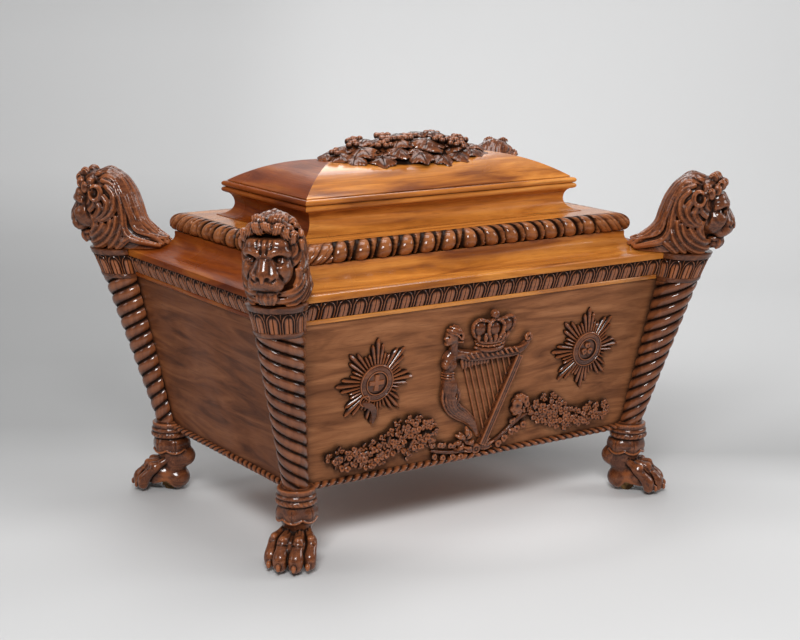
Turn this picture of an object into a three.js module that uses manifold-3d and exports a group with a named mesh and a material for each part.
// A sarcophagus cellarette in carved mahogany, millimetres, +Z up, long front facing -Y.
// The origin is on the floor under the middle of the chest.
import * as THREE from 'three';
import { mergeVertices } from 'three/addons/utils/BufferGeometryUtils.js';
import Module from 'manifold-3d';

const wasm = await Module();
wasm.setup();

// Fits
const gap = 0.3;
const overrun = 60;

// Plain numbers
const half = 0.5;
const quarter_turn = Math.PI / 2;
const full_turn = Math.PI * 2;

// Facet counts
const blob_facets = 8;
const blob_bands = 5;
const small_blob_facets = 6;
const small_blob_bands = 4;
const drum_facets = 12;
const capital_facets = 16;
const wheel_facets = 20;
const pin_facets = 10;
const limb_facets = 8;
const string_facets = 4;

// Shelf: a moulded rail on each side, with the opening of the well in the middle
const shelf_bottom = 494;
const shelf_half_length = 470;
const shelf_half_depth = 318;
const shelf_overhang = 9;
const fascia_height = 12;
const cove_run = 50;
const cove_rise = 28;
const shelf_flat = 34;
const rail_reach = 128;

// Body boards: four boards that lean outward from a small floor to the shelf
const body_bottom = 132;
const lean_length = 67.5;
const lean_depth = 57;
const board = 18;
const floor_board = 20;

// Carved band under the shelf
const band_drop = 33;
const fillet_drop = 9;
const band_proud = 4;

// Twisted moulding along the foot of the boards
const rope_radius = 6.5;
const rope_proud = 10.4;

// Corner columns: a centre line that leans out over each corner, just outside the boards
const foot_axis_height = 140;
const foot_axis_out_length = 2.5;
const foot_axis_out_depth = 5;
const head_axis_out_length = 7;
const head_axis_out_depth = 13;
const column_bottom = 146;
const column_top = 447;
const column_foot_radius = 24.5;
const column_head_radius = 45;
const column_starts = 4;
const column_lead = 97;
const groove_share = 0.87;
const strand_points = 2;

// Capitals
const capital_foot_radius = 46.5;
const capital_head_radius = 53.5;
const capital_rim = 9;

// Lion heads, measured out along the corner's diagonal and up from the shelf
const head_reach = 108;
const head_back = 54;
const head_rise = 160;
const head_half_width = 59;
const mane_tail = 114;

// Paw feet
const paw_reach = 77;
const paw_hock_back = 53;
const paw_half_width = 46;
const toe_count = 4;
const side_toe_share = 0.87;
const paw_collar_radius = 35;
const paw_collar_height = 21;
const paw_lift = 5;

// Castors set into the paws
const wheel_radius = 15;
const wheel_width = 14;
const castor_trail = 9;
const castor_inset = 14;
const castor_pocket_radius = 28;
const castor_pocket_depth = 42;
const castor_plate_radius = 15.4;
const axle_radius = 3;
const stem_radius = 5;
const stem_length = 12;
const fork_plate = 4;
const fork_cheek = 3;
const cheek_half_length = 6;

// Lid: board, carved edge, neck and hipped dome
const lid_bottom = 542;
const lid_inset_length = 19.7;
const lid_inset_depth = 15.6;
const lid_board_thickness = 36.4;
const carved_edge_reach = 27;
const lobe_pitch = 48;
const corner_leaf_run = 50;
const lobe_hollow_share = 0.74;
const neck_inset_length = 68.3;
const neck_inset_depth = 74.4;
const neck_rise = 67.5;
const bead_radius = 5.6;
const bead_reach = 19;
const neck_foot_reach = 27;
const neck_waist = 24.3;
const dome_overhang_length = 11;
const dome_overhang_depth = 8;
const dome_rise = 47;
const dome_power = 2.2;
const dome_step = 1.5;
const dome_crest_share = 0.97;
const dome_bands = 8;

// Carved vine on the dome
const vine_inset_length = 113;
const vine_inset_depth = 60;
const vine_rise = 44;

// Well
const liner_wall = 3;
const divider_board = 8;
const divider_rise = 170;
const cells_long = 4;
const cells_deep = 3;

// Hinges
const hinge_inset = 183.3;
const hinge_length = 72;
const knuckle_count = 3;
const knuckle_radius = 3.2;
const hinge_pin_radius = 1.4;
const hinge_plate = 1.5;
const hinge_plate_reach = 34;
const hinge_stand_off = 4.4;
const running_gap = 0.4;

// Applied carvings on the front board
const star_radius = 84;
const star_over_spray = 47;
const star_thickness = 8;
const star_points = 16;
const short_ray_share = 0.84;
const ray_foot_share = 0.56;
const medallion_radius = 35;
const medallion_thickness = 15;
const harp_top_gap = 14;
const harp_centre = 6;
const harp_reach_share = 0.3457;
const harp_foot_height = 158;
const string_count = 9;
const string_half_width_share = 0.006;
const string_proud_share = 0.02;
const spray_height = 196;
const spray_start = 108;
const spray_end_gap = 31.6;

// Sizes worked out from the ones above
const top_half_length = shelf_half_length - shelf_overhang;
const top_half_depth = shelf_half_depth - shelf_overhang;
const bottom_half_length = top_half_length - lean_length;
const bottom_half_depth = top_half_depth - lean_depth;
const foot_axis_x = bottom_half_length + foot_axis_out_length;
const foot_axis_y = bottom_half_depth + foot_axis_out_depth;
const head_axis_x = top_half_length + head_axis_out_length;
const head_axis_y = top_half_depth + head_axis_out_depth;
const rim_face = shelf_flat + cove_run;
const lid_board_half_length = shelf_half_length - rim_face - lid_inset_length;
const lid_board_half_depth = shelf_half_depth - rim_face - lid_inset_depth;
const neck_half_length = lid_board_half_length - neck_inset_length;
const neck_half_depth = lid_board_half_depth - neck_inset_depth;
const dome_half_length = neck_half_length + dome_overhang_length;
const dome_half_depth = neck_half_depth + dome_overhang_depth;
const vine_half_length = dome_half_length - vine_inset_length;
const vine_half_depth = dome_half_depth - vine_inset_depth;
const hinge_offset = lid_board_half_length - hinge_inset;
const fillet_bottom = shelf_bottom - band_drop - fillet_drop;
const harp_span = fillet_bottom - harp_top_gap - harp_foot_height;
const star_height = spray_height + star_over_spray + star_radius;
const star_offset = (harp_span * harp_reach_share + column_inner(star_height)) * half;
const spray_length = column_inner(spray_height) - spray_end_gap - spray_start;
const opening_half_length = shelf_half_length - rail_reach;
const opening_half_depth = shelf_half_depth - rail_reach;
const shelf_top = shelf_bottom + fascia_height;
const rim_top = lid_bottom - gap;
const lid_board_top = lid_bottom + lid_board_thickness;
const neck_bottom = lid_board_top + gap;
const neck_top = neck_bottom + neck_rise;
const dome_bottom = neck_top + gap;

const woods = {
  body: new THREE.MeshStandardMaterial({ color: 0x7c4a2c, roughness: 0.5 }),
  polished: new THREE.MeshStandardMaterial({ color: 0x9c5523, roughness: 0.28 }),
  carved: new THREE.MeshStandardMaterial({ color: 0x57301c, roughness: 0.36 }),
};
const lead = new THREE.MeshStandardMaterial({ color: 0x6f7275, roughness: 0.6, metalness: 0.6 });
const brass = new THREE.MeshStandardMaterial({ color: 0xa8894a, roughness: 0.35, metalness: 1 });
const cellarette = new THREE.Group();

function add(name, geometry, material, parent = cellarette) {
  const mesh = new THREE.Mesh(geometry, material);
  mesh.name = name;
  parent.add(mesh);
  return mesh;
}

// Solid helpers

function signed_volume(geometry) {
  const place = geometry.getAttribute('position');
  const index = geometry.getIndex();
  const corners = [0, 1, 2].map(() => new THREE.Vector3());
  let volume = 0;
  for (let row = 0; row < index.count; row += 3) {
    corners.forEach((corner, turn) => corner.fromBufferAttribute(place, index.getX(row + turn)));
    volume += corners[0].dot(corners[1].clone().cross(corners[2]));
  }
  return volume;
}

function face_out(geometry) {
  if (signed_volume(geometry) < 0) {
    const index = geometry.getIndex();
    for (let row = 0; row < index.count; row += 3) {
      const first = index.getX(row);
      index.setX(row, index.getX(row + 1));
      index.setX(row + 1, first);
    }
  }
  return geometry;
}

// Skins a row of matching loops and closes both ends; the outline tells how the ends are cut up.
function loft(loops, outline) {
  const count = loops[0].length;
  const last = (loops.length - 1) * count;
  const index = [];
  for (let row = 0; row < last; row += count) {
    for (let turn = 0; turn < count; turn += 1) {
      const next = (turn + 1) % count;
      index.push(row + turn, row + next, row + count + next);
      index.push(row + turn, row + count + next, row + count + turn);
    }
  }
  const points = outline.map(([across, along]) => new THREE.Vector2(across, along));
  const way = Math.sign(THREE.ShapeUtils.area(points));
  for (const face of THREE.ShapeUtils.triangulateShape(points, [])) {
    const same = Math.sign(THREE.ShapeUtils.area(face.map((corner) => points[corner]))) === way;
    const [a, b, c] = same ? face : [face[0], face[2], face[1]];
    index.push(c, b, a);
    index.push(last + a, last + b, last + c);
  }
  const geometry = new THREE.BufferGeometry();
  geometry.setAttribute('position', new THREE.Float32BufferAttribute(loops.flat(2), 3));
  geometry.setIndex(index);
  return face_out(geometry);
}

function to_solid(geometry) {
  const bare = geometry.clone();
  bare.deleteAttribute('normal');
  bare.deleteAttribute('uv');
  const merged = mergeVertices(bare, gap / overrun);
  return new wasm.Manifold(new wasm.Mesh({
    numProp: 3,
    vertProperties: new Float32Array(merged.getAttribute('position').array),
    triVerts: new Uint32Array(merged.getIndex().array),
  }));
}

function to_geometry(solid) {
  const mesh = solid.getMesh();
  const geometry = new THREE.BufferGeometry();
  geometry.setAttribute('position', new THREE.BufferAttribute(mesh.vertProperties, mesh.numProp));
  geometry.setIndex(new THREE.BufferAttribute(mesh.triVerts, 1));
  return geometry;
}

function join(geometries) {
  return geometries.map(to_solid).reduce((whole, piece) => whole.add(piece));
}

function box(low, high) {
  const size = high.map((value, axis) => value - low[axis]);
  const geometry = new THREE.BoxGeometry(...size);
  geometry.translate(...high.map((value, axis) => (value + low[axis]) * half));
  return geometry;
}

function drum(radius, low, high, facets = drum_facets) {
  const geometry = new THREE.CylinderGeometry(radius, radius, high - low, facets);
  geometry.rotateX(quarter_turn);
  geometry.translate(0, 0, (high + low) * half);
  return geometry;
}

// An egg-shaped swelling of a carved piece. tilt lifts its front end.
function blob(centre, radii, small = false, tilt = 0) {
  const geometry = small
    ? new THREE.SphereGeometry(1, small_blob_facets, small_blob_bands)
    : new THREE.SphereGeometry(1, blob_facets, blob_bands);
  geometry.rotateX(quarter_turn);
  geometry.scale(...radii);
  geometry.rotateY(tilt);
  geometry.translate(...centre);
  return geometry;
}

// Swellings from a table of shares: centre then radii, small or not, and the tilt.
function blobs(shares, [long, wide, tall]) {
  return shares.map(([u, v, w, reach_u, reach_v, reach_w, small, tilt]) => blob(
    [u * long, v * wide, w * tall],
    [reach_u * long, reach_v * wide, reach_w * tall],
    small,
    tilt,
  ));
}

// Corner pieces are made for the front left corner and mirrored to the other three.
function mirrored(geometry, sign_x, sign_y) {
  const copy = geometry.clone();
  copy.scale(-sign_x, -sign_y, 1);
  return face_out(copy);
}

function keep_largest(solid) {
  return solid.decompose().reduce((best, piece) => (piece.volume() > best.volume() ? piece : best));
}

// Sides of the chest. A profile runs as [outward, height] from a reference rectangle, and the
// strip along a side is mitred where it meets its neighbours.

const sides = {
  front: { along: [1, 0], out: [0, -1], ends_share: 'length' },
  back: { along: [-1, 0], out: [0, 1], ends_share: 'length' },
  left: { along: [0, -1], out: [-1, 0], ends_share: 'depth' },
  right: { along: [0, 1], out: [1, 0], ends_share: 'depth' },
};

function side_point(side, along, out, height) {
  return [
    side.along[0] * along + side.out[0] * out,
    side.along[1] * along + side.out[1] * out,
    height,
  ];
}

// reach gives the half length along the side and the half width out to it at a height.
function mitred(side, profile, reach, mitre_gap = gap) {
  const loops = [-1, 1].map((end) => profile.map(([out, height]) => {
    const [along_reach, out_reach] = reach(side, height);
    return side_point(side, end * (along_reach + out - mitre_gap), out_reach + out, height);
  }));
  return loft(loops, profile);
}

function rectangle_reach(half_length, half_depth) {
  return (side) => (side.ends_share === 'length' ? [half_length, half_depth] : [half_depth, half_length]);
}

function lean(low_value, high_value, height) {
  const share = (height - body_bottom) / (shelf_bottom - body_bottom);
  return low_value + (high_value - low_value) * share;
}

function board_half_length(height) {
  return lean(bottom_half_length, top_half_length, height);
}

function board_half_depth(height) {
  return lean(bottom_half_depth, top_half_depth, height);
}

function board_reach(side, height) {
  const reach = [board_half_length(height), board_half_depth(height)];
  return side.ends_share === 'length' ? reach : reach.reverse();
}

// A tapered block between two heights with the boards' slope, offset from their outer faces.
function chest_block(offset, low, high) {
  const loops = [low, high].map((height) => {
    const length = board_half_length(height) + offset;
    const depth = board_half_depth(height) + offset;
    return [[length, depth, height], [-length, depth, height], [-length, -depth, height],
      [length, -depth, height]];
  });
  return loft(loops, loops[0].map(([x, y]) => [x, y]));
}

// Corner centre line
function corner_axis(height) {
  const share = (height - foot_axis_height) / (shelf_bottom - foot_axis_height);
  return [
    foot_axis_x + (head_axis_x - foot_axis_x) * share,
    foot_axis_y + (head_axis_y - foot_axis_y) * share,
  ];
}

function column_radius(height) {
  const share = (height - column_bottom) / (column_top - column_bottom);
  return column_foot_radius + (column_head_radius - column_foot_radius) * share;
}

// How far along the front a column's near side stands
function column_inner(height) {
  return corner_axis(height)[0] - column_radius(height);
}

const corners = [
  ['front_left', -1, -1],
  ['front_right', 1, -1],
  ['back_left', -1, 1],
  ['back_right', 1, 1],
];

// Body boards
for (const [name, side] of Object.entries(sides)) {
  const profile = [
    [0, body_bottom],
    [0, shelf_bottom - gap],
    [-board, shelf_bottom - gap],
    [-board, body_bottom],
  ];
  add(`${name}_board`, mitred(side, profile, board_reach), woods.body);
}
const floor_top = body_bottom + floor_board;
add('floor_board', chest_block(-board - gap, body_bottom, floor_top), woods.body);

// Shelf rails. The profile goes round from the fascia's foot, over the cove and down the opening.
const cove_top = shelf_top + cove_rise;
const cove_steps = 6;
const rail_profile = [[0, shelf_bottom], [0, shelf_top]];
for (let step = 0; step <= cove_steps; step += 1) {
  const turn = (step / cove_steps) * quarter_turn;
  const out = -shelf_flat - cove_run * Math.sin(turn);
  rail_profile.push([out, shelf_top + cove_rise * (1 - Math.cos(turn))]);
}
rail_profile.push([-rim_face, rim_top]);
rail_profile.push([-rail_reach, rim_top]);
rail_profile.push([-rail_reach, shelf_bottom]);
const shelf_reach = rectangle_reach(shelf_half_length, shelf_half_depth);
const rails = {};
for (const [name, side] of Object.entries(sides)) {
  rails[name] = mitred(side, rail_profile, shelf_reach);
}

// Carved band under the shelf, with its fillet, between the columns
const band_bottom = shelf_bottom - band_drop;
const band_top = shelf_bottom - gap;
const band_head_reach = shelf_half_depth - board_half_depth(shelf_bottom) - gap;
const band_swell_share = 0.62;
const band_profile = [
  [gap, fillet_bottom],
  [band_proud, fillet_bottom],
  [band_proud, band_bottom],
  [band_head_reach, band_bottom + band_drop * band_swell_share],
  [band_head_reach, band_top],
  [gap, band_top],
];

function between_columns(side, profile, height, radius) {
  const axis = corner_axis(height);
  const along_axis = side.ends_share === 'length' ? axis[0] : axis[1];
  const end = along_axis - radius;
  const loops = [-1, 1].map((way) => profile.map(([out, at]) => {
    return side_point(side, way * end, board_reach(side, at)[1] + out, at);
  }));
  return loft(loops, profile);
}
const band_seat = column_head_radius + capital_rim * half;
for (const [name, side] of Object.entries(sides)) {
  add(`${name}_leaf_band`, between_columns(side, band_profile, fillet_bottom, band_seat), woods.carved);
}

// Twisted moulding along the foot of the boards
const rope_steps = 6;
const rope_profile = [];
for (let step = 0; step <= rope_steps; step += 1) {
  const turn = (step / rope_steps - half) * Math.PI;
  rope_profile.push([
    gap + rope_proud * Math.cos(turn),
    body_bottom + rope_radius * (1 + Math.sin(turn)),
  ]);
}
const rope_seat = paw_collar_radius + gap;
for (const [name, side] of Object.entries(sides)) {
  const moulding = between_columns(side, rope_profile, foot_axis_height, rope_seat);
  add(`${name}_rope_moulding`, moulding, woods.carved);
}

// A level ring of points round the front left corner's centre line
function corner_ring(height, count, place) {
  const [axis_x, axis_y] = corner_axis(height);
  const loop = [];
  for (let point = 0; point < count; point += 1) {
    const { reach, angle } = place(point);
    loop.push([reach * Math.cos(angle) - axis_x, reach * Math.sin(angle) - axis_y, height]);
  }
  return loop;
}

// Columns: each vertex keeps to its own strand, so the edges follow the grooves.
const body_clear = to_solid(chest_block(gap, body_bottom - overrun, shelf_bottom + overrun));
const ring_points = column_starts * strand_points;
const ring_count = Math.round(((column_top - column_bottom) / column_lead) * ring_points);

function column() {
  const loops = [];
  for (let ring = 0; ring <= ring_count; ring += 1) {
    const height = column_bottom + ((column_top - column_bottom) * ring) / ring_count;
    const radius = column_radius(height);
    loops.push(corner_ring(height, ring_points, (point) => ({
      reach: point % strand_points === 0 ? radius * groove_share : radius,
      angle: ((point - ring) / ring_points) * full_turn,
    })));
  }
  return to_geometry(to_solid(loft(loops, loops[0])).subtract(body_clear));
}

// Capitals: slanting drums that carry the corner of the shelf and the lion head
const capital_bottom = column_top + gap;
const capital_rings = [
  [capital_bottom, capital_foot_radius - gap],
  [capital_bottom + capital_rim * half, capital_foot_radius + gap],
  [capital_bottom + capital_rim, capital_foot_radius],
  [capital_bottom + capital_rim, column_head_radius],
  [shelf_top - capital_rim - capital_rim, capital_head_radius],
  [shelf_top - capital_rim - capital_rim * half, capital_head_radius - capital_rim * half],
  [shelf_top - capital_rim, capital_head_radius],
  [shelf_top, capital_head_radius + gap],
];
const rail_clear = to_solid(box(
  [-shelf_half_length - gap, -shelf_half_depth - gap, shelf_bottom - gap],
  [shelf_half_length + gap, shelf_half_depth + gap, shelf_bottom + overrun],
));

function capital() {
  const loops = capital_rings.map(([height, radius]) => corner_ring(height, capital_facets, (point) => ({
    reach: radius,
    angle: (point / capital_facets) * full_turn,
  })));
  return to_geometry(to_solid(loft(loops, loops[0])).subtract(body_clear).subtract(rail_clear));
}

// Lion heads face out along the diagonal. u runs forward, v across and w up from the shelf.
const head_shares = [
  // centre u, v, w, radii u, v, w, small, tilt: skull, beard, brow, muzzle, nose, jaw, ears, tufts
  [-0.02, 0, 0.42, 0.49, 0.92, 0.50, false, 0],
  [0.20, 0, 0.20, 0.44, 0.98, 0.24, false, 0],
  [0.30, 0, 0.72, 0.46, 0.84, 0.28, false, 0],
  [0.68, 0, 0.36, 0.31, 0.40, 0.14, false, 0.15],
  [0.56, 0, 0.55, 0.33, 0.52, 0.16, false, 0.35],
  [0.60, 0, 0.19, 0.19, 0.30, 0.12, true, 0],
  [0.22, 0.78, 0.66, 0.13, 0.22, 0.10, true, 0],
  [0.22, -0.78, 0.66, 0.13, 0.22, 0.10, true, 0],
  [0.56, 0.24, 0.92, 0.15, 0.24, 0.085, true, 0],
  [0.56, -0.24, 0.92, 0.15, 0.24, 0.085, true, 0],
];
const tail_shares = [[-0.5, 0, 0.07, 0.47, 0.62, 0.11, true, 0]];
const skull_back_shares = [[-0.5, 0, 0.3, 0.5, 0.8, 0.26, true, 0]];
const head_local = join([
  ...blobs(head_shares, [head_reach, head_half_width, head_rise]),
  ...blobs(skull_back_shares, [head_back, head_half_width, head_rise]),
  ...blobs(tail_shares, [mane_tail, head_half_width, head_rise]),
]);
const rails_solid = join(Object.values(sides).map((side) => {
  const grown = rail_profile.map(([out, height]) => [out + gap, height + gap]);
  return mitred(side, grown, shelf_reach, -gap);
}));
const below_shelf = to_solid(box(
  [-shelf_half_length * 2, -shelf_half_depth * 2, 0],
  [shelf_half_length * 2, shelf_half_depth * 2, shelf_top + gap],
));

function at_corner(solid, height, lift) {
  const [axis_x, axis_y] = corner_axis(height);
  const geometry = to_geometry(solid);
  geometry.rotateZ(Math.atan2(-1, -1));
  geometry.translate(-axis_x, -axis_y, lift);
  return geometry;
}

function lion_head() {
  const head = to_solid(at_corner(head_local, shelf_bottom, shelf_top));
  return to_geometry(keep_largest(head.subtract(below_shelf).subtract(rails_solid)));
}

// Paw feet point out along the diagonal too. w runs up from the floor.
const paw_top = column_bottom - gap;
const paw_shares = [
  // ankle, heel and the pad under the toes
  [0, 0, 0.68, 0.49, 0.81, 0.23, false, 0],
  [-0.18, 0, 0.2, 0.34, 0.74, 0.3, false, 0],
  [0.3, 0, 0.24, 0.46, 0.84, 0.23, false, 0],
];
const hock_shares = [[-0.48, 0, 0.53, 0.52, 0.6, 0.3, false, 0]];
const toe_share = [0.37, 0.27, 0.16];
const toe_height_share = 0.17;
const toe_spread_share = 1.9;
const toe_shares = [];
for (let toe = 0; toe < toe_count; toe += 1) {
  const across = (toe - (toe_count - 1) * half) / toe_count;
  const tip = Math.abs(across) < 1 / toe_count ? 1 : side_toe_share;
  const centre_shares = [tip - toe_share[0], across * toe_spread_share, toe_height_share];
  toe_shares.push([...centre_shares, ...toe_share, true, 0]);
}
const paw_size = [paw_reach, paw_half_width, paw_top];
const paw_local = join([
  drum(paw_collar_radius, paw_top - paw_collar_height, paw_top),
  ...blobs(paw_shares, paw_size),
  ...blobs(hock_shares, [paw_hock_back, paw_half_width, paw_top]),
  ...blobs(toe_shares, paw_size),
]);
const pocket_u = castor_inset - castor_trail * half;
const paw_pocket = to_solid(drum(castor_pocket_radius, -overrun, castor_pocket_depth));
const stem_hole = to_solid(drum(stem_radius + running_gap, 0, castor_pocket_depth + stem_length, pin_facets));
const paw_sole = to_solid(box(
  [-shelf_half_depth, -shelf_half_depth, -shelf_half_depth],
  [shelf_half_depth, shelf_half_depth, paw_lift],
));
const paw_holes = paw_pocket.add(stem_hole).translate([pocket_u, 0, 0]);
const paw_body = paw_local.subtract(paw_holes).subtract(paw_sole);

function paw_foot() {
  const foot = to_solid(at_corner(paw_body, foot_axis_height, 0));
  return to_geometry(keep_largest(foot.subtract(body_clear)));
}

// Castors: a plate with a stem and two cheeks, and a wheel on an axle between them
const plate_top = castor_pocket_depth - running_gap;
const cheek_inner = wheel_width * half + running_gap;
const axle_height = wheel_radius * Math.cos(Math.PI / wheel_facets);
const axle_centre = [pocket_u - castor_trail, 0, axle_height];

function castor_fork() {
  const plate_low = plate_top - fork_plate;
  const plate = drum(castor_plate_radius, plate_low, plate_top);
  const stem = drum(stem_radius, plate_low, plate_top + stem_length, pin_facets);
  plate.translate(pocket_u, 0, 0);
  stem.translate(pocket_u, 0, 0);
  const cheeks = [-1, 1].map((way) => {
    const inner = way * cheek_inner;
    const outer = way * (cheek_inner + fork_cheek);
    return box(
      [axle_centre[0] - cheek_half_length, Math.min(inner, outer), axle_height - cheek_half_length],
      [pocket_u + cheek_half_length, Math.max(inner, outer), plate_low + fork_plate * half],
    );
  });
  const bore = new THREE.CylinderGeometry(axle_radius, axle_radius, wheel_width + overrun, pin_facets);
  bore.translate(...axle_centre);
  return join([plate, stem, ...cheeks]).subtract(to_solid(bore));
}

function castor_wheel() {
  const tread = new THREE.CylinderGeometry(wheel_radius, wheel_radius, wheel_width, wheel_facets);
  const axle_length = (cheek_inner + fork_cheek) * 2;
  const pin_radius = axle_radius - running_gap;
  const axle = new THREE.CylinderGeometry(pin_radius, pin_radius, axle_length, pin_facets);
  tread.rotateY(Math.PI / wheel_facets);
  tread.translate(...axle_centre);
  axle.translate(...axle_centre);
  return join([tread, axle]);
}

const corner_pieces = {
  column: [column(), woods.carved],
  capital: [capital(), woods.carved],
  lion_head: [lion_head(), woods.carved],
  paw_foot: [paw_foot(), woods.carved],
  castor_fork: [at_corner(castor_fork(), foot_axis_height, 0), brass],
  castor_wheel: [at_corner(castor_wheel(), foot_axis_height, 0), brass],
};
for (const [corner, sign_x, sign_y] of corners) {
  for (const [name, [geometry, material]] of Object.entries(corner_pieces)) {
    add(`${corner}_${name}`, mirrored(geometry, sign_x, sign_y), material);
  }
}

// Well: a lead box that follows the boards, and a crossed divider that stands in it
const liner_top = shelf_bottom - gap;
const liner_offset = -board - gap;
const liner_floor = floor_top + gap + liner_wall;
const liner_outer = to_solid(chest_block(liner_offset, floor_top + gap, liner_top));
const liner_inner = to_solid(chest_block(liner_offset - liner_wall, liner_floor, liner_top + overrun));
add('lead_liner', to_geometry(liner_outer.subtract(liner_inner)), lead);

const divider_low = liner_floor + gap;
const divider_boards = [];
for (let row = 1; row < cells_long; row += 1) {
  const centre = (row / cells_long - half) * opening_half_length * 2;
  divider_boards.push(box(
    [centre - divider_board * half, -opening_half_depth, divider_low],
    [centre + divider_board * half, opening_half_depth, divider_low + divider_rise],
  ));
}
for (let row = 1; row < cells_deep; row += 1) {
  const centre = (row / cells_deep - half) * opening_half_depth * 2;
  divider_boards.push(box(
    [-opening_half_length, centre - divider_board * half, divider_low],
    [opening_half_length, centre + divider_board * half, divider_low + divider_rise],
  ));
}
add('bottle_divider', to_geometry(join(divider_boards)), woods.body);

// Lid
const lid = new THREE.Group();
cellarette.add(lid);

// Hinge line at the back, level with the joint of lid and shelf
const hinge_y = shelf_half_depth - rim_face + hinge_stand_off;
const hinge_z = lid_bottom - gap * half;
const knuckle_length = hinge_length / knuckle_count;

function x_cylinder(radius, low, high, facets = drum_facets) {
  const geometry = new THREE.CylinderGeometry(radius, radius, high - low, facets);
  geometry.rotateZ(quarter_turn);
  geometry.translate((high + low) * half, hinge_y, hinge_z);
  return geometry;
}

// A leaf is a plate with every other knuckle; the one on the chest also holds the pin.
function hinge_leaf(centre, above) {
  const start = centre - hinge_length * half;
  const plate_low = above ? hinge_z + gap : hinge_z - gap - hinge_plate;
  let leaf = to_solid(box(
    [start, hinge_y - hinge_plate_reach, plate_low],
    [start + hinge_length, hinge_y - knuckle_radius * half, plate_low + hinge_plate],
  ));
  for (let row = 0; row < knuckle_count; row += 1) {
    const low = start + row * knuckle_length;
    const high = low + knuckle_length;
    if (row % 2 === (above ? 0 : 1)) {
      leaf = leaf.add(to_solid(x_cylinder(knuckle_radius, low + gap, high - gap)));
    } else {
      leaf = leaf.subtract(to_solid(x_cylinder(knuckle_radius + gap, low - gap, high + gap)));
    }
  }
  const pin_radius = above ? hinge_pin_radius + gap : hinge_pin_radius;
  const pin = to_solid(x_cylinder(pin_radius, start - gap, start + hinge_length + gap, pin_facets));
  return above ? leaf.subtract(pin) : leaf.add(pin);
}

// The room that a hinge takes out of the lid and the shelf
function hinge_room(centre) {
  const reach = hinge_length * half + gap + gap;
  const plates = box(
    [centre - reach, hinge_y - hinge_plate_reach - gap, hinge_z - gap - gap - hinge_plate],
    [centre + reach, hinge_y + knuckle_radius * half, hinge_z + gap + gap + hinge_plate],
  );
  const barrel = x_cylinder(knuckle_radius + gap, centre - reach, centre + reach);
  return join([plates, barrel]);
}

for (const [name, centre] of [['left', -hinge_offset], ['right', hinge_offset]]) {
  add(`${name}_hinge_body_leaf`, to_geometry(hinge_leaf(centre, false)), brass);
  add(`${name}_hinge_lid_leaf`, to_geometry(hinge_leaf(centre, true)), brass, lid);
}
const hinge_rooms = hinge_room(-hinge_offset).add(hinge_room(hinge_offset));
for (const [name, geometry] of Object.entries(rails)) {
  const cut = name === 'back' ? to_geometry(to_solid(geometry).subtract(hinge_rooms)) : geometry;
  add(`${name}_shelf_rail`, cut, woods.polished);
}

const lid_board = box(
  [-lid_board_half_length, -lid_board_half_depth, lid_bottom],
  [lid_board_half_length, lid_board_half_depth, lid_board_top],
);
add('lid_board', to_geometry(to_solid(lid_board).subtract(hinge_rooms)), woods.polished, lid);

// Carved edge of the lid: a fat round that swells at each lobe and sinks between them
const edge_shares = [
  [0, 0], [0.5, 0], [0.86, 0.16], [1, 0.4], [0.92, 0.68], [0.62, 0.9], [0.2, 1], [0, 1],
];

function carved_edge(side) {
  const [along_reach, out_reach] = rectangle_reach(lid_board_half_length, lid_board_half_depth)(side);
  const lobes = Math.floor((along_reach - corner_leaf_run) / (lobe_pitch * half));
  const last = lobes * lobe_pitch * half;
  const stations = [];
  for (let step = 0; step <= lobes * 2; step += 1) {
    stations.push([-last + (step * lobe_pitch) * half, step % 2 === 0 ? lobe_hollow_share : 1]);
  }
  const profile_at = (swell) => edge_shares.map(([out, up]) => [
    gap + out * carved_edge_reach * swell,
    lid_bottom + up * lid_board_thickness,
  ]);
  const end_loop = (way) => profile_at(1).map(([out, height]) => {
    return side_point(side, way * (along_reach + out - gap), out_reach + out, height);
  });
  const middle = stations.map(([along, swell]) => profile_at(swell).map(([out, height]) => {
    return side_point(side, along, out_reach + out, height);
  }));
  return loft([end_loop(-1), ...middle, end_loop(1)], edge_shares);
}

for (const [name, side] of Object.entries(sides)) {
  const geometry = carved_edge(side);
  const cut = name === 'back' ? to_geometry(to_solid(geometry).subtract(hinge_rooms)) : geometry;
  add(`${name}_carved_edge`, cut, woods.carved, lid);
}

// Neck of the lid: a cove between the board and two beads, round a solid core
const neck_profile = [];
const neck_steps = 4;
for (let step = 0; step <= neck_steps; step += 1) {
  const turn = (step / neck_steps) * quarter_turn;
  neck_profile.push([
    neck_foot_reach * (1 - Math.sin(turn)),
    neck_bottom + neck_waist * (1 - Math.cos(turn)),
  ]);
}
const bead_low = neck_top - bead_radius * 4;
for (let step = 1; step <= neck_steps; step += 1) {
  const turn = (step / neck_steps) * quarter_turn;
  neck_profile.push([
    (bead_reach - bead_radius) * (1 - Math.cos(turn)),
    neck_bottom + neck_waist + (bead_low - neck_bottom - neck_waist) * Math.sin(turn),
  ]);
}
for (const bead of [0, 1]) {
  const bead_centre = bead_low + bead_radius * (1 + 2 * bead);
  for (const turn of [-1, 0, 1]) {
    neck_profile.push([
      bead_reach - bead_radius + bead_radius * Math.cos(turn * quarter_turn * half),
      bead_centre + bead_radius * Math.sin(turn * quarter_turn * half),
    ]);
  }
  neck_profile.push([bead_reach - bead_radius, bead_centre + bead_radius]);
}
const neck_loops = neck_profile.map(([out, height]) => {
  const length = neck_half_length + out;
  const depth = neck_half_depth + out;
  return [[length, depth, height], [-length, depth, height], [-length, -depth, height],
    [length, -depth, height]];
});
add('lid_neck', loft(neck_loops, neck_loops[0]), woods.polished, lid);

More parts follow.
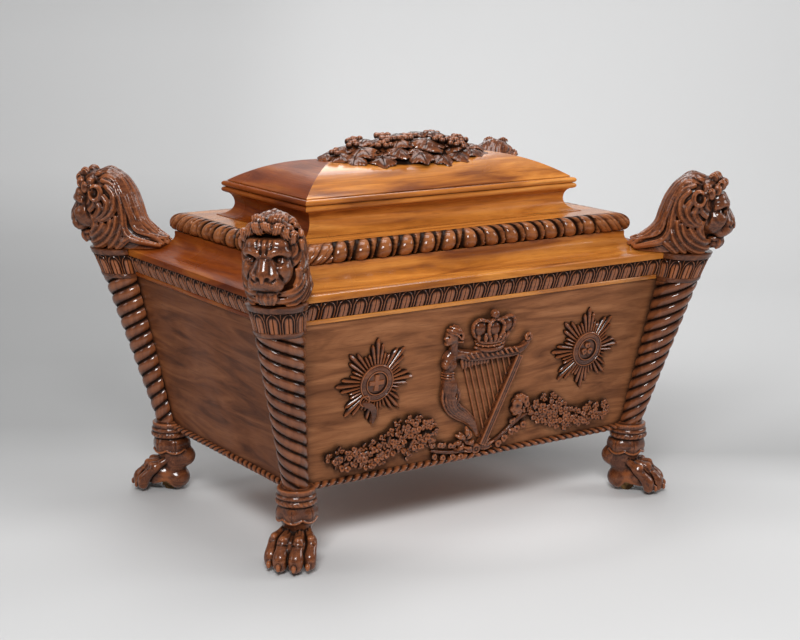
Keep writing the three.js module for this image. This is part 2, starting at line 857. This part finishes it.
// Dome: hipped, with curved slopes that meet on mitres
function dome_block(grown) {
  const loops = [];
  for (let step = 0; step < dome_bands; step += 1) {
    const share = Math.sin((step / dome_bands) * quarter_turn) * dome_crest_share;
    const inward = share * dome_half_depth;
    const height = dome_bottom + dome_step + grown + dome_rise * (1 - (1 - share) ** dome_power);
    const length = dome_half_length + grown - inward;
    const depth = dome_half_depth + grown - inward;
    loops.push([[length, depth, height], [-length, depth, height], [-length, -depth, height],
      [length, -depth, height]]);
  }
  const foot = loops[0].map(([x, y]) => [x, y, dome_bottom]);
  return loft([foot, ...loops], foot);
}
add('lid_dome', dome_block(0), woods.polished, lid);

// Vine carving: a low mound of leaves and grapes over the dome's ridge
const vine_shares = [
  [0, 0, 0.3, 0.62, 0.86, 0.5, false, 0],
  [-0.5, 0.04, 0.1, 0.36, 0.7, 0.42, false, 0],
  [0.5, -0.04, 0.12, 0.38, 0.76, 0.44, false, 0],
  [-0.8, 0, -0.02, 0.2, 0.4, 0.3, true, 0],
  [0.8, 0, -0.04, 0.2, 0.46, 0.34, true, 0],
  [-0.14, 0.2, 0.62, 0.24, 0.4, 0.34, true, 0],
  [0.26, -0.1, 0.7, 0.26, 0.42, 0.3, true, 0],
  [-0.3, -0.6, 0.02, 0.3, 0.38, 0.3, true, 0],
  [0.3, -0.62, 0.02, 0.3, 0.36, 0.3, true, 0],
];
const dome_top = dome_bottom + dome_rise;
const vine_pieces = blobs(vine_shares, [vine_half_length, vine_half_depth, vine_rise]);
vine_pieces.forEach((piece) => piece.translate(0, 0, dome_top));
const dome_clear = to_solid(dome_block(gap));
const vine = join(vine_pieces).subtract(dome_clear);
add('lid_vine_carving', to_geometry(keep_largest(vine)), woods.carved, lid);

// Applied carvings on the front board. across runs along +X, up follows the board, out is proud.
const board_lean = Math.atan2(top_half_depth - bottom_half_depth, shelf_bottom - body_bottom);

function on_front(geometry, across, height) {
  geometry.rotateX(quarter_turn + board_lean);
  const out = [0, -Math.cos(board_lean), -Math.sin(board_lean)];
  geometry.translate(
    across + out[0] * gap,
    -board_half_depth(height) + out[1] * gap,
    height + out[2] * gap,
  );
  return geometry;
}

function star() {
  const shape = new THREE.Shape();
  for (let step = 0; step < star_points * 2; step += 1) {
    const long = step % 4 === 0;
    const tip = long ? star_radius : star_radius * short_ray_share;
    const reach = step % 2 === 0 ? tip : star_radius * ray_foot_share;
    const angle = (step / star_points) * Math.PI + quarter_turn;
    const place = [reach * Math.cos(angle), reach * Math.sin(angle)];
    if (step === 0) {
      shape.moveTo(...place);
    } else {
      shape.lineTo(...place);
    }
  }
  shape.closePath();
  const rays = new THREE.ExtrudeGeometry(shape, { depth: star_thickness, bevelEnabled: false });
  const boss = drum(medallion_radius, star_thickness * half, medallion_thickness, wheel_facets);
  return to_geometry(join([rays, boss]));
}

const star_geometry = star();
add('left_star', on_front(star_geometry.clone(), -star_offset, star_height), woods.carved);
add('right_star', on_front(star_geometry.clone(), star_offset, star_height), woods.carved);

// A limb is a chain of rings on the board's plane: across, up, half width and how far it stands out.
function limb(stations, facets = limb_facets) {
  const last = stations.length - 1;
  const loops = stations.map(([across, up, wide, proud], row) => {
    const before = stations[Math.max(row - 1, 0)];
    const after = stations[Math.min(row + 1, last)];
    const along = new THREE.Vector2(after[0] - before[0], after[1] - before[1]).normalize();
    const loop = [];
    for (let step = 0; step < facets; step += 1) {
      const angle = (step / facets) * full_turn;
      const side = wide * Math.cos(angle);
      loop.push([across - along.y * side, up + along.x * side, proud * Math.sin(angle)]);
    }
    return loop;
  });
  const cap = [];
  for (let step = 0; step < facets; step += 1) {
    const angle = (step / facets) * full_turn;
    cap.push([Math.cos(angle), Math.sin(angle)]);
  }
  return loft(loops, cap);
}

function scaled(stations, size, mirror = 1) {
  return stations.map((station) => station.map((value, axis) => value * size * (axis === 0 ? mirror : 1)));
}

const behind_board = to_solid(box(
  [-shelf_half_length, -shelf_half_length, -overrun],
  [shelf_half_length, shelf_half_length * 2, 0],
));

function carving(pieces, across, height) {
  const rope_top = body_bottom + rope_radius * 2 + gap + gap - height;
  const over_rope = to_solid(box(
    [-shelf_half_length, rope_top - overrun, -overrun],
    [shelf_half_length, rope_top, overrun],
  ));
  const solid = keep_largest(join(pieces).subtract(behind_board).subtract(over_rope));
  return on_front(to_geometry(solid), across, height);
}

// Crowned harp, in shares of its span from the rosette to the ball on the crown
const harp_limb_shares = {
  sound_bar: [[0.02, 0.03, 0.04, 0.045], [0.16, 0.33, 0.032, 0.05], [0.29, 0.63, 0.024, 0.05]],
  neck: [
    [-0.12, 0.68, 0.03, 0.05], [-0.02, 0.71, 0.026, 0.045], [0.12, 0.67, 0.026, 0.045],
    [0.24, 0.66, 0.028, 0.045], [0.31, 0.70, 0.03, 0.045], [0.31, 0.79, 0.024, 0.04],
  ],
  figure: [
    [-0.24, 0.78, 0.06, 0.09], [-0.28, 0.68, 0.1, 0.11], [-0.28, 0.55, 0.06, 0.08],
    [-0.3, 0.45, 0.08, 0.1], [-0.24, 0.32, 0.06, 0.08], [-0.1, 0.2, 0.04, 0.06], [0, 0.08, 0.04, 0.05],
  ],
  head: [[-0.27, 0.79, 0.03, 0.06], [-0.3, 0.85, 0.055, 0.09], [-0.28, 0.93, 0.04, 0.07]],
  rosette: [[-0.06, 0, 0.05, 0.05], [0.0, 0.0, 0.075, 0.07], [0.08, 0, 0.05, 0.05]],
  stem_left: [[0, 0.02, 0.03, 0.04], [-0.15, 0.06, 0.025, 0.04], [-0.2, 0.15, 0.035, 0.05]],
  stem_right: [
    [0.02, 0.02, 0.03, 0.04], [0.15, 0.06, 0.025, 0.04], [0.25, 0.15, 0.025, 0.04],
    [0.33, 0.29, 0.04, 0.05],
  ],
  crown: [
    [0.05, 0.73, 0.11, 0.06], [0.03, 0.78, 0.11, 0.07], [0.03, 0.88, 0.16, 0.09], [0.02, 0.95, 0.09, 0.07],
    [0.02, 1.02, 0.03, 0.03],
  ],
};
const string_foot_shares = [0.03, 0.09];
const string_head_shares = [0.25, 0.64];
const string_top_share = 0.68;
const string_left_share = -0.2;
const harp_pieces = Object.values(harp_limb_shares).map((stations) => limb(scaled(stations, harp_span)));
for (let row = 0; row < string_count; row += 1) {
  const share = (row + half) / string_count;
  const foot_across = string_foot_shares[0] + (string_head_shares[0] - string_foot_shares[0]) * share;
  const foot_up = string_foot_shares[1] + (string_head_shares[1] - string_foot_shares[1]) * share;
  const head_across = string_left_share + (string_head_shares[0] - string_left_share) * share;
  const string_shares = [
    [foot_across, foot_up, string_half_width_share, string_proud_share],
    [head_across, string_top_share, string_half_width_share, string_proud_share],
  ];
  harp_pieces.push(limb(scaled(string_shares, harp_span), string_facets));
}
add('crowned_harp', carving(harp_pieces, harp_centre, harp_foot_height), woods.carved);

// Shamrock sprays, in shares of their length out from the harp
const spray_limb_shares = [
  [[0.02, 0.1, 0.14, 0.05], [0.2, 0.06, 0.13, 0.07], [0.42, -0.02, 0.13, 0.07], [0.68, -0.03, 0.09, 0.06],
    [0.98, 0.0, 0.03, 0.03]],
  [[0.06, -0.02, 0.08, 0.05], [0.3, -0.13, 0.08, 0.06], [0.52, -0.14, 0.06, 0.05]],
  [[0.2, 0.14, 0.05, 0.05], [0.34, 0.16, 0.06, 0.06], [0.5, 0.1, 0.06, 0.05]],
  [[0.6, 0.06, 0.05, 0.05], [0.72, 0.07, 0.06, 0.06], [0.84, 0.03, 0.04, 0.04]],
];
for (const [name, way] of [['left', -1], ['right', 1]]) {
  const pieces = spray_limb_shares.map((stations) => limb(scaled(stations, spray_length, way)));
  add(`${name}_shamrock_spray`, carving(pieces, way * spray_start, spray_height), woods.carved);
}

export default cellarette;
